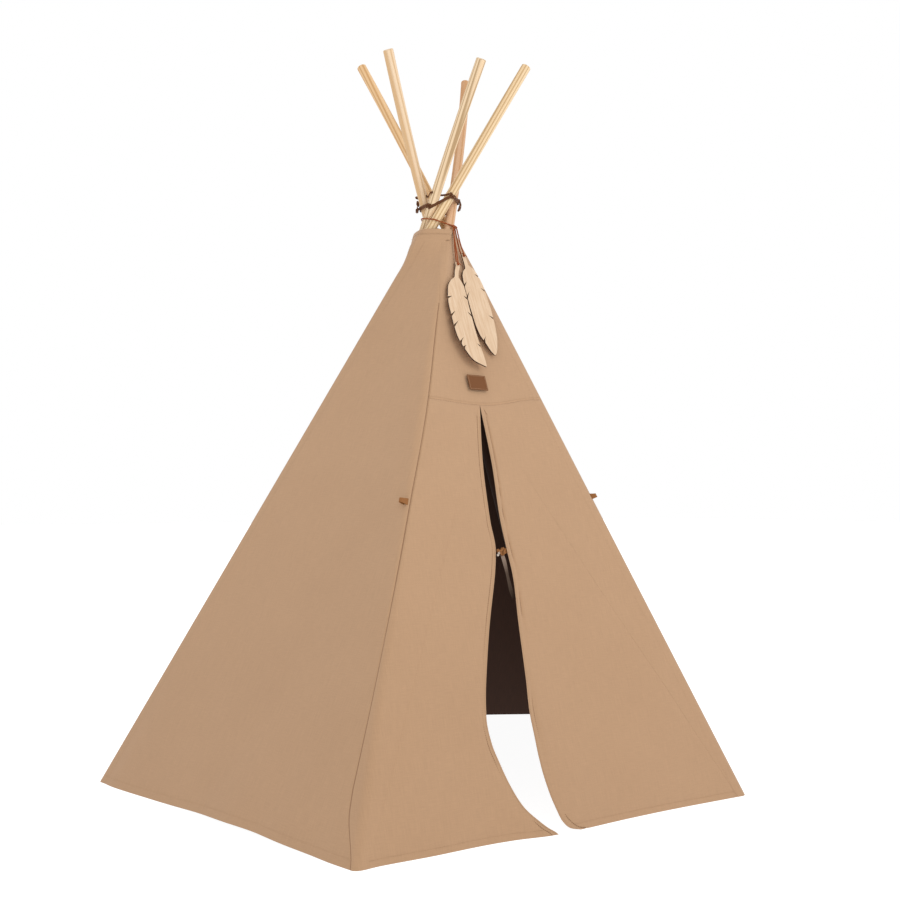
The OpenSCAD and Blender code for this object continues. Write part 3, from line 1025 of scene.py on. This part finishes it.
def flap_stitches(tag, edge, fold, sign, second_row, lift):
    """Two rows up a flap's free edge and one along its hem. sign points from the edge to the crease."""
    def row(name, spots, thread=THREAD, width=0.0008):
        path = [cover_point(FRONT, z, d, out=THREAD_OFF + lift(z, d)) for z, d in spots]
        sew(name, FRONT, path, tag + "_flap", material=thread, width=width)

    for k, inset in enumerate((0.003, second_row)):
        heights = [0.002 + v for v in DOOR_LEVELS if v < 0.862]
        spots = [(z, edge(z) + sign * inset * (1.0 + 0.6 * smooth(0.05, 0.0, z))) for z in heights]
        # The second row is drawn darker and wider as painted shade of the hem's groove.
        row(f"flap_stitch_{tag}_{k}", spots, THREAD_WITH_HEM_SHADE if k else THREAD, 0.0014 if k else 0.0008)
    a, b = sorted((fold(FLAP_HEM), edge(FLAP_HEM) + sign * 0.010))
    row(f"flap_hem_{tag}", [(FLAP_HEM, d) for d in between(a, b, 50)])


for i in range(5):
    wall_stitches(i)
flap_stitches("left", edge_left, fold_left, -1, LEFT_ROW, left_flap_lift)
flap_stitches("right", edge_right, fold_right, 1, RIGHT_ROW, right_flap_lift)
sew("yoke_stitch", FRONT, level_path(FRONT, YOKE_H + 0.005, panel_width(FRONT, YOKE_H), 60))

# ---------- neck band ----------

# The ring takes this many steps round half a pole, and along a panel.
NECK_TURN, NECK_RUN = 7, 10


def ring_at(z, out):
    """Level outline of the cover with all its corners, as points and their distance round."""
    pts, run = [], 0.0
    for i in range(5):
        w = panel_width(i, z)
        before, after = half_turn(i, z) * WRAP_R, half_turn((i + 1) % 5, z) * WRAP_R
        ds = between(-before, 0, NECK_TURN)[:-1] + between(0, w, NECK_RUN)
        ds += between(w, w + after, NECK_TURN)[1:-1]
        for d in ds:
            p = cover_point(i, z, d, out=out)
            if pts:
                run += (p - pts[-1][0]).length
            pts.append((p, run))
    return pts


def neck_band():
    levels = [NECK_LOW, NECK_LOW + 0.002, 1.303, 1.308, 1.3095, NECK_SEAM, 1.3125, 1.316, 1.320, 1.323]
    pts, uvs = [], []
    for z in levels + [NECK_HIGH]:
        dip = 0.0009 * bump(z, NECK_SEAM, 0.0016)
        edge = 0.0006 * smooth(1.320, NECK_HIGH, z) + 0.0015 * smooth(1.304, NECK_LOW, z)
        ring = ring_at(z, 0.0010 - dip - edge)
        pts.append([p for p, _ in ring] + [ring[0][0].copy()])
        uvs.append([(u, z) for _, u in ring] + [(ring[-1][1] + 0.003, z)])
    o = thicken(grid("neck_band_cloth", pts, uvs, [CANVAS_OUT, CANVAS_IN_SHADED]), 0.0018)
    place(o, "crown", "canvas", "neck_band")


def neck_stitches():
    path = [p for p, _ in ring_at(NECK_SEAM, 0.0012)]
    centre = Vector((CROSSING.x, CROSSING.y, NECK_SEAM))
    out_dir = lambda p: (p - centre).normalized()
    place(stitches("neck_stitch", path + path[:1], out_dir, pitch=0.0034, length=0.0024), "crown", "canvas")


neck_band()
neck_stitches()

# ---------- leather and tape ----------


def slab(name, outline, thickness, matrix, materials, bevel=0.0005):
    """A flat piece with a 2-D outline in x and z. Its front faces -y. A second material is on its edge."""
    n = len(outline)
    verts = [Vector((x, y, z)) for y in (-thickness / 2, thickness / 2) for x, z in outline]
    faces = [tuple(range(n)), tuple(reversed(range(n, 2 * n)))]
    faces += [(k, k + n, (k + 1) % n + n, (k + 1) % n) for k in range(n)]
    o = new_mesh(name, verts, faces, materials, flat=True)
    if len(materials) > 1:
        for p in o.data.polygons[2:]:
            p.material_index = 1
    bm = bmesh.new()
    bm.from_mesh(o.data)
    bmesh.ops.recalc_face_normals(bm, faces=bm.faces)
    bm.to_mesh(o.data)
    bm.free()
    o.matrix_world = matrix
    if bevel:
        m = o.modifiers.new("edge", "BEVEL")
        m.width = bevel
        m.segments = 2
        m.limit_method = "ANGLE"
    return o


def rounded_rect(w, h, r, steps=4):
    pts = []
    x, z = w / 2 - r, h / 2 - r
    for cx, cz, start in ((x, z, 0), (-x, z, 90), (-x, -z, 180), (x, -z, 270)):
        for k in range(steps + 1):
            t = math.radians(start + 90 * k / steps)
            pts.append((cx + r * math.cos(t), cz + r * math.sin(t)))
    return pts


PATCH_W, PATCH_H, PATCH_T = 0.054, 0.038, 0.0014
# The patch's stitches run this far inside its edge.
PATCH_INSET = 0.0025


def leather_patch():
    """The leather patch on the yoke, with a stitched border and no text."""
    frame_at = front_frame(0.937, 0.43, 0.0010)
    o = slab("leather_patch_leather", rounded_rect(PATCH_W, PATCH_H, 0.0015), PATCH_T, frame_at, [PATCH])
    on_panel(o, FRONT, slot="leather", node="leather_patch")
    x, z = PATCH_W / 2 - PATCH_INSET, PATCH_H / 2 - PATCH_INSET
    path = [frame_at @ Vector((a, -0.0008, b)) for a, b in ((-x, z), (x, z), (x, -z), (-x, -z), (-x, z))]
    sew("patch_stitch", FRONT, path, pitch=0.003, length=0.002)


# Side, pole, height, compass angles at which it leaves the pole and points, reach, rise of its free end.
CORNER_TABS = [("left", FRONT_LEFT, 0.660, 214, 196, 0.018, 0.005),
               ("right", FRONT_RIGHT, 0.673, 330, 330, 0.014, 0.003)]
TAB_HALF_W = 0.0075


def level(degrees):
    a = math.radians(degrees)
    return Vector((math.cos(a), math.sin(a), 0))


def corner_tab(side, i, z0, leaves, points_to, reach, lift):
    """A leather strip folded to a flat loop, with both ends under the seam."""
    base = pole_at(i, z0) + level(leaves) * 0.0150
    along = level(points_to)
    across = UP.cross(along)
    loop = [(math.cos(a) ** 0.5, 0.0032 * math.sin(a)) for a in between(math.pi / 2, -math.pi / 2, 14)]
    pts = []
    for k in between(-TAB_HALF_W, TAB_HALF_W, 4):
        pts.append([base + along * (reach * x) + across * (y - 0.003 * x * x)
                    + pole_dir(i) * (k * (1 - 0.35 * x) + lift * x) for x, y in loop])
    uvs = [[(0, 0)] * len(loop)] * len(pts)
    o = thicken(grid("corner_tab_" + side + "_leather", pts, uvs, [LEATHER]), 0.0018)
    place(o, "leg_" + POLES[i], "leather", "corner_tab_" + side)


# The closure at the door, in mm: its outline, the ribbons folded over it and its loose threads.
DOOR_TAB = [(-17, 3), (-15, 6), (-10, 6.5), (-7, 4), (-5.5, 4.5), (-3, 9), (2, 9.5), (7, 8), (17, 7),
            (17, -3), (8, -4), (3, -6), (0, -9), (-4, -9.5), (-8, -6), (-10, -3), (-15, -2), (-17, 0)]
TAB_FOLDS = [((-16, -2, 1), (-9, -3, 1), (-3, -3.5, 3), (2, -3, 8)),
             ((-1, -2, -8), (0, -3.5, -2), (4, -3, 2), (9, -2, 5))]
TAB_THREADS = [((-11, -2, -1), (-18, -7, -5), (-22, -10, -9), (-25, -11, -13)),
               ((-10, -2, -3), (-17, -7, -8), (-21, -9, -12), (-26, -11, -10))]


def door_tab():
    frame_at = front_frame(0.551, 0.440, -0.0095)
    outline = [(x * MM, z * MM) for x, z in DOOR_TAB[::-1]]
    o = slab("door_tab_leather", outline, 0.0022, frame_at, [LEATHER, PATCH])
    folds = local_tubes("tab_fold", frame_at, TAB_FOLDS, 0.0020, LEATHER, flat=0.5)
    on_panel(merge("tab_fold_leather", folds), FRONT, "right_flap", slot="leather")
    threads = local_tubes("tab_thread", frame_at, TAB_THREADS, 0.0009, THREAD_PALE)
    on_panel(merge("tab_thread_cord", threads), FRONT, "right_flap", slot="tape")
    on_panel(o, FRONT, "right_flap", slot="leather", node="door_tab")


TAPE_W, TAPE_L = 0.010, 0.104


def door_tape():
    """The tape below the closure, with a gentle wave."""
    frame_at = front_frame(0.500, 0.448, -0.0125) @ Matrix.Rotation(math.radians(-4), 4, "Y")
    across = between(-0.45 * TAPE_W, 0.45 * TAPE_W, 3)
    pts = []
    for z in between(-TAPE_L / 2, TAPE_L / 2, 24):
        pts.append([frame_at @ Vector((x + 0.002 * math.sin(z * 60), 0.0012 * math.sin(z * 90 + x * 200), z))
                    for x in across])
    uvs = [[(0, v)] * len(across) for v in between(0, 1, 24)]
    o = thicken(grid("door_tape_cloth", pts, uvs, [TAPE]), 0.0006)
    on_panel(o, FRONT, "right_flap", slot="tape", node="door_tape")
    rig.sheet(o, flat=(TAPE_W, TAPE_L), held="hung", rests_on=["door_tab_leather"])


leather_patch()
for tab in CORNER_TABS:
    corner_tab(*tab)
door_tab()
door_tape()

# ---------- feathers ----------

FEATHERS = front_frame(1.100, 0.5, 0.009)
# Where each feather's hole is, in mm from FEATHERS.
LEFT_HOLE, RIGHT_HOLE = (-12, -3.5, 140), (22, 1.5, 172)
# Outline of each blade from its hole, in mm: distance down, left edge, right edge.
LEFT_BLADE = [(-7, -4, 4), (-4, -7, 7), (3, -8, 6), (20, -16, -3), (38, -23, -9), (46, -35, -4), (65, -51, 1),
              (84, -58, 1), (120, -66, -1), (172, -67, -1), (200, -65, 0), (227, -55, 2), (240, -48, 4),
              (260, -33, 5), (274, 1, 4)]
RIGHT_BLADE = [(-7, -4, 4), (-4, -6, 6), (23, -5, 8), (34, -6, 22), (46, -17, 29), (61, -23, 35),
               (83, -25, 40), (115, -26, 42), (145, -26, 44), (165, -25, 43), (188, -24, 42), (219, -18, 38),
               (236, -8, 33), (252, 0, 27), (262, 6, 22), (269, 13, 16)]
# Cuts between the barbs: x at the edge, distance down there, x at the inner end, distance down there.
LEFT_CUTS = [(-62, 96, -48, 93), (-67, 144, -50, 133), (-67, 172, -48, 158), (-61, 214, -46, 202),
             (-55, 227, -44, 222), (-1, 91, -10, 87), (-1, 137, -12, 130), (1, 219, -8, 214)]
RIGHT_CUTS = [(-25, 83, -14, 73), (-26, 115, -14, 100), (-10, 232, 0, 220), (31, 51, 20, 47),
              (40, 90, 28, 84), (43, 165, 29, 159)]
# Step down an edge, and the width of a cut at the edge, in mm.
BLADE_STEP, CUT_W = 3, 6
FEATHER_T, FEATHER_HOLE_R = 0.003, 0.0025


def blade_edge(blade, cuts, column):
    """One edge of a blade from top to bottom, with a slit for every cut on that side."""
    first, last = blade[0][0], blade[-1][0]
    mine = sorted((c for c in cuts if (c[0] < c[2]) == (column == 1)), key=lambda c: c[1])
    sign = -1 if column == 1 else 1
    points, down = [], first
    while down < last:
        cut = next((c for c in mine if down <= c[1] < down + BLADE_STEP), None)
        if cut:
            edge, at, inner, inner_at = cut
            points += [(edge + sign, at), (inner, inner_at), ((edge + inner) / 2, (at + inner_at) / 2 + 2.5)]
            down = at + CUT_W
        points.append((along_table(blade, down, column), down))
        down += BLADE_STEP
    points.append((blade[-1][column], last))
    return points


def feather(side, blade, cuts, hole):
    """A plywood feather with a burnt edge. Returns the frame of its hole."""
    left, right = blade_edge(blade, cuts, 1), blade_edge(blade, cuts, 2)
    outline = [(x * MM, -down * MM) for x, down in left + right[::-1]]
    at = FEATHERS @ Matrix.Translation(Vector(hole) * MM)
    o = slab("feather_" + side + "_wood", outline, FEATHER_T, at, [PLY, BURNT], bevel=0)
    drill_hole(o, at.translation, at.to_3x3() @ Vector((0, 1, 0)), FEATHER_HOLE_R)
    place(o, side + "_feather", "plywood", "feather_" + side)
    return at


LEFT_HANG = feather("left", LEFT_BLADE, LEFT_CUTS, LEFT_HOLE)
RIGHT_HANG = feather("right", RIGHT_BLADE, RIGHT_CUTS, RIGHT_HOLE)

# ---------- cords ----------

CORD_R, KNOT_R, TIE_R = 0.0016, 0.0015, 0.0011
# Routes from the knot to the feathers, in mm from FEATHERS, as in the CAD.
STRANDS = {
    "left_inner": [(-1.5, -12.3, 236), (-2.5, -10.5, 222), (-4, -8, 208), (-5.5, -6, 196), (-7, -4, 182),
                   (-8.2, -1.9, 166), (-9.5, -0.2, 150), (-12, 0.5, 140)],
    "left_outer": [(-5, -15.2, 236), (-6, -14, 222), (-7.3, -12.5, 206), (-8.6, -11, 188), (-10, -9.5, 166),
                   (-11.5, -8.2, 150), (-12, -7.5, 140)],
    "right_inner": [(4.5, -11.7, 237), (6.5, -9, 229.5), (9, -6, 221), (14, 0.3, 203), (18.5, 4.6, 188),
                    (22, 5.5, 172)],
    "right_outer": [(8.5, -14, 237), (11, -10.8, 224), (15, -6.5, 203), (19, -4, 187), (22, -2.5, 172)],
}
# The knot of the feather cord, and from it its two ends to the cord and its four to the strands, in mm.
KNOT = FEATHERS @ Matrix.Translation(Vector((1, -13.8, 244)) * MM)
KNOT_LINKS = [((-2, 1.5, 2), (-3, 4, 5), (-3.5, 7, 8)), ((2, 1.5, 2), (4, 3.5, 4), (6, 5.6, 5.8))]
KNOT_ENDS = [(-2.5, 1.5, -8), (-6, -1.4, -8), (3.5, 2.1, -7), (7.5, -0.2, -7)]
TIE_LOOP = ((0, -3.2, 0), (0, 0, -0.6), (0, 3.2, 0), (0, 3.4, 5), (0, 0, 9), (0, -3.4, 5))


def strand(key, route):
    world = [FEATHERS @ (Vector(p) * MM) for p in route]
    o, pts = tube("strand_" + key + "_cord", world, CORD_R, CORD)
    place(o, "crown", "cord", "strand_" + key)
    length = sum((b - a).length for a, b in zip(pts[:-1], pts[1:]))
    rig.cord(o, exit=world[0], length=length, diameter=2 * CORD_R, far_end="object", stiffness="limp",
            lay="hanging", path=pts)


def knot(name, frame_at, size, radius):
    """A small overhand knot: three loops that cross each other, and two short tails. size is in mm."""
    loops = []
    for tilt, squeeze in ((0.2, 1.0), (1.2, 0.85), (2.3, 0.9)):
        c, s = math.cos(tilt), 0.9 * math.sin(tilt)
        oval = [(size * math.cos(a), size * squeeze * math.sin(a)) for a in between(0, 2 * math.pi, 10)[:-1]]
        loops.append([(x * c - z * 0.35, x * s, z + x * 0.25) for x, z in oval])
    tails = [((way * size * 0.5, -size * 0.6, 0), (way * (size + 1), -size, -size * 0.6),
              (way * (size + 3), -size, -size - 2.5)) for way in (-1, 1)]
    parts = local_tubes(name, frame_at, loops, radius, CORD, close=True, steps=3)
    return merge(name, parts + local_tubes(name + "_tail", frame_at, tails, radius * 0.9, CORD, steps=4))


def bundle_ring(stand, height, about):
    """Points round the poles, stand from their middles. height gives each its own from its place at about."""
    def point(i, k, z):
        turn = Matrix.Rotation(2 * half_turn(i, z) * k / 5, 2)
        q = pole_xy(i, z) + stand * (turn @ panel_normal((i + 4) % 5, z))
        return Vector((q.x, q.y, z))

    return [point(i, k, height(point(i, k, about))) for i in range(5) for k in range(6)]


def feather_cord():
    """The cord round the bundle, which drops to the right in the photo."""
    middle, slope = 1.346, -0.25
    route = bundle_ring(0.0152, lambda p: middle + slope * across_view(p), middle)
    o, _ = tube("feather_cord_cord", route, CORD_R, CORD, close=True, steps=3)
    place(o, "crown", "cord", "feather_cord")


def feather_knot():
    ends = [((0, -1, 0), (x * 0.6, y * 0.6, z * 0.5), (x, y, z)) for x, y, z in KNOT_ENDS]
    parts = [knot("knot_loops", KNOT, 3.2, KNOT_R)]
    parts += local_tubes("knot_link", KNOT, KNOT_LINKS + ends, KNOT_R, CORD, steps=4)
    place(merge("feather_knot_cord", parts), "crown", "cord", "feather_knot")


def feather_tie(side, hang):
    """The loop through a feather's hole, and the knot in front of it."""
    tie = knot("feather_tie_" + side, hang @ Matrix.Translation(Vector((0, -3.4, 1)) * MM), 2.4, TIE_R)
    place(tie, side + "_feather", "cord")
    loop = local_tubes("loop", hang, [TIE_LOOP], TIE_R, CORD, close=True, steps=4)
    place(merge("feather_loop_" + side, loop), side + "_feather", "cord")


for key, route in STRANDS.items():
    strand(key, route)
feather_cord()
feather_knot()
feather_tie("left", LEFT_HANG)
feather_tie("right", RIGHT_HANG)

# ---------- lashing ----------

LACE_R, WRAP_LACE_R = 0.0024, 0.0026
RIBBON = {"flat": 0.42, "sides": 10}
# Loops of the knot at the left of the wrap, and the two ends that hang at its right, in mm.
TIE_LOOPS = [
    ((0, -3, 8), (3, -5, 10), (5, -5, 16), (4, 0, 18), (1, 2, 14), (0, 0, 10)),
    ((0, -3, 0), (4, -6, 1), (7, -5, -4), (6, 0, -9), (3, 2, -6), (1, 1, -1)),
    ((2, -6, -3), (4, -5, 2), (4, 0, 4), (3, 5, 0), (2, 4, -7), (3, -1, -9)),
]
LOOSE_ENDS = [((-2, -3, 3), (2, -4, -4), (1, -5, -14), (-3, -6, -26)),
              ((-1, -1, 2), (3, 1, -5), (3, 1, -13), (0, 0, -22))]
# The lace through a pole, in mm: along the hole, away from the bundle, up.
THROUGH_POLE = ((-17, 1, -2), (-9, 0, 0), (0, 0, 0), (9, 0, 0), (17, 1, -3))


def wrap_height(p):
    """The wrap sags across the front poles and climbs to the right."""
    a = across_view(p)
    return 1.389 - 0.006 * bump(a, -0.005, 0.012) + 0.020 * smooth(0.002, 0.020, a)


def facing(at, way):
    """A frame at a point, with its x along a level direction."""
    return Matrix.Translation(at) @ Matrix.Rotation(math.atan2(way.y, way.x), 4, "Z")


def lashing_wrap():
    """Two turns of flat lace round the bundle, with its knot and its loose ends."""
    parts = []
    for k, drop in enumerate((0.0, -0.0046)):
        route = bundle_ring(0.0150, lambda p: wrap_height(p) + drop, 1.396)
        route = [p + UP * (0.0007 * math.sin(2.1 * n + 2 * k)) for n, p in enumerate(route)]
        parts.append(tube(f"wrap_{k}", route, WRAP_LACE_R, LACE, close=True, steps=3, **RIBBON)[0])
    tie_at = facing(min(bundle_ring(0.0165, lambda p: 1.388, 1.388), key=across_view), -VIEW_RIGHT)
    parts += local_tubes("tie", tie_at, TIE_LOOPS, LACE_R, LACE, close=True, steps=5, flat=0.5)
    end_at = facing(max(bundle_ring(0.0165, lambda p: 1.410, 1.410), key=across_view), VIEW_RIGHT)
    parts += local_tubes("end", end_at, LOOSE_ENDS, LACE_R, LACE, steps=5, flat=0.5)
    place(merge("lashing_wrap_lace", parts), "crown", "lace", "lashing_wrap")


def lashing_lace():
    """The lace that runs through the holes of all five poles."""
    route = []
    for i in range(5):
        centre = pole_at(i, HOLE_H)
        radial = (Vector((centre.x, centre.y)) - CROSSING).normalized()
        axis = across_pole(i)
        if axis.dot(Vector((-radial.y, radial.x, 0))) < 0:
            axis = -axis
        for along, out, up in THROUGH_POLE:
            route.append(centre + (axis * along + radial.to_3d() * out + UP * up) * MM)
    o, _ = tube("lashing_lace_lace", route, LACE_R, LACE, close=True, steps=4, **RIBBON)
    place(o, "crown", "lace", "lashing_lace")


lashing_wrap()
lashing_lace()

# ---------- floor, light and camera ----------

scene = bpy.context.scene
BACKDROP_WHITE = (1, 1, 1, 1)
FLOOR_SIZE, FLOOR_GREY, FLOOR_GLOW = 60, 0.25, 0.95
LIGHT_TARGET = Vector((0, -0.2, 0.6))


def white_floor():
    bpy.ops.mesh.primitive_plane_add(size=FLOOR_SIZE, location=(0, 0, 0))
    o = bpy.context.object
    o.name = "floor"
    m, _, bsdf = node_material("floor", (FLOOR_GREY,) * 3, 0.9)
    bsdf.inputs["Emission Color"].default_value = BACKDROP_WHITE
    bsdf.inputs["Emission Strength"].default_value = FLOOR_GLOW
    o.data.materials.append(m)
    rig.stage(o)


def white_world():
    scene.world = bpy.data.worlds.new("studio")
    scene.world.use_nodes = True
    background = scene.world.node_tree.nodes["Background"]
    background.inputs["Color"].default_value = BACKDROP_WHITE
    background.inputs["Strength"].default_value = 1.0


def area_light(name, at, size, power):
    data = bpy.data.lights.new(name, "AREA")
    data.shape = "SQUARE"
    data.size = size
    data.energy = power
    o = bpy.data.objects.new(name, data)
    scene.collection.objects.link(o)
    o.location = at
    o.rotation_euler = (LIGHT_TARGET - Vector(at)).to_track_quat("-Z", "Y").to_euler()


def place_camera():
    """The photo's camera: low, in front of the left corner."""
    data = bpy.data.cameras.new("camera")
    camera = bpy.data.objects.new("camera", data)
    scene.collection.objects.link(camera)
    scene.camera = camera
    data.sensor_width = 36
    data.lens = 44.28
    data.dof.use_dof = False
    data.clip_end = 100
    camera.location = (-1.4667, -2.4658, 0.6594)
    camera.rotation_euler = (math.radians(92.7), 0, math.radians(-33.218))


white_floor()
white_world()
area_light("key", (1.6, -4.2, 3.0), 2.5, 50)
area_light("fill", (-4.2, -2.2, 2.2), 3.0, 12)
place_camera()

scene.view_settings.view_transform = "Standard"
scene.view_settings.look = "None"
scene.view_settings.exposure = 0.0

low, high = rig.bounds()
with open("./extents.json", "w") as f:
    json.dump({"cad": cad_size, "shown": [list(low), list(high)]}, f)
